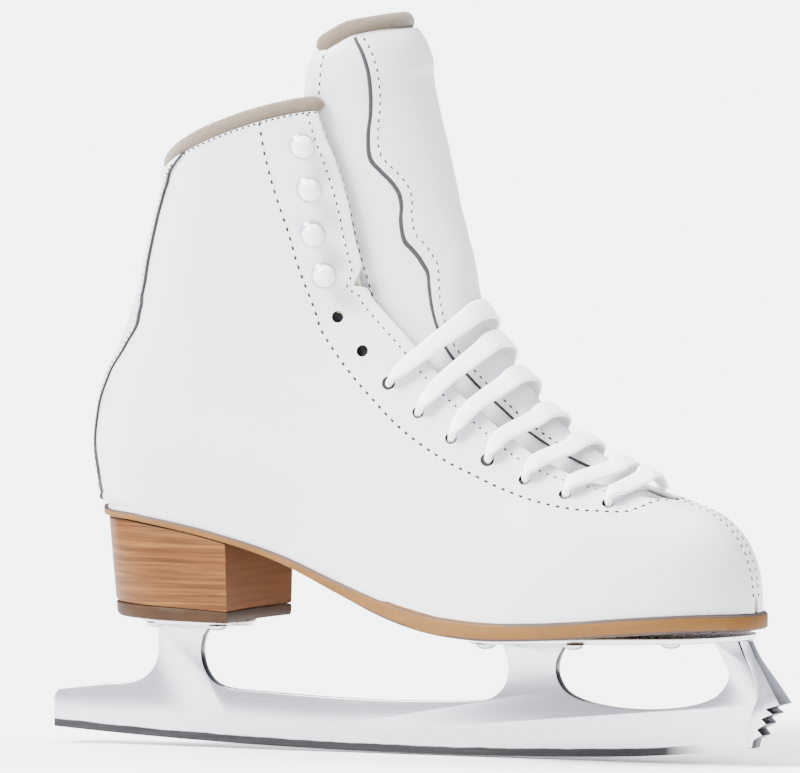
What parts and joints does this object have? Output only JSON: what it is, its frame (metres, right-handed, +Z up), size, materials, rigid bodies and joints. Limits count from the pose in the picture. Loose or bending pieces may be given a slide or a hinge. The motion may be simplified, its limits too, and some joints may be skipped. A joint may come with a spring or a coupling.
{
  "type": "figure skate",
  "caption": "Laced white leather figure skate: stacked heel, leather sole, hooks and eyelets, folding padded tongue, and a screwed-on plated steel blade with a toe rake.",
  "frame": {"origin": "middle of the footprint, on the ground that the blade stands on", "axes": "+X from the heel to the toe, +Z up, +Y to the medial side, so the lateral side faces -Y"},
  "size_m": [0.3018, 0.0888, 0.2786],
  "materials": {
    "blade_chrome": "polished",
    "plate_chrome": "polished",
    "screw_steel": "plain",
    "heel_lift": "waxed",
    "stacked_leather_heel": "varnished, banded like wood grain",
    "outsole_leather": "varnished",
    "board": "raw",
    "footbed_fabric": "brushed",
    "white_leather": "smooth, semi-gloss",
    "beige_binding": "soft, matt",
    "lining_fabric": "brushed",
    "stiffener": "raw",
    "hook_enamel": "gloss white",
    "aglet_plastic": "clear gloss over white",
    "lace_cotton": "woven"
  },
  "bodies": {
    "boot": {"blade_runner": "blade_chrome", "toe_rake": "blade_chrome", "heel_plate": "plate_chrome", "toe_plate": "plate_chrome", "heel_screw_1": "screw_steel", "heel_screw_2": "screw_steel", "heel_screw_3": "screw_steel", "heel_screw_4": "screw_steel", "toe_screw_1": "screw_steel", "toe_screw_2": "screw_steel", "toe_screw_3": "screw_steel", "toe_screw_4": "screw_steel", "toe_screw_5": "screw_steel", "toe_screw_6": "screw_steel", "heel_lift": "heel_lift", "heel_block": "stacked_leather_heel", "outsole": "outsole_leather", "insole_board": "board", "footbed": "footbed_fabric", "quarter_lateral": "white_leather", "facing_stay_lateral": "stiffener", "lining_lateral": "lining_fabric", "heel_counter_lateral": "stiffener", "toe_box_lateral": "stiffener", "quarter_medial": "white_leather", "facing_stay_medial": "stiffener", "lining_medial": "lining_fabric", "heel_counter_medial": "stiffener", "toe_box_medial": "stiffener", "backstay": "white_leather", "collar_binding": "beige_binding", "tongue_lower": "white_leather", "tongue_panel_lower": "white_leather", "hook_lateral_1": "hook_enamel", "hook_lateral_2": "hook_enamel", "hook_lateral_3": "hook_enamel", "hook_lateral_4": "hook_enamel", "hook_medial_1": "hook_enamel", "hook_medial_2": "hook_enamel", "hook_medial_3": "hook_enamel", "hook_medial_4": "hook_enamel", "lace": "lace_cotton", "lace_hank_lateral": "lace_cotton", "aglet_lateral": "aglet_plastic", "lace_hank_medial": "lace_cotton", "aglet_medial": "aglet_plastic"},
    "tongue": {"tongue_upper": "white_leather", "tongue_panel_upper": "white_leather", "tongue_binding": "beige_binding"}
  },
  "joints": [
    {"name": "tongue_fold", "type": "hinge", "parent": "boot", "child": "tongue", "pos_m": [0.02605, 0.00007, 0.168], "axis": [0, 1, 0], "range_deg": [-5, 30]}
  ]
}
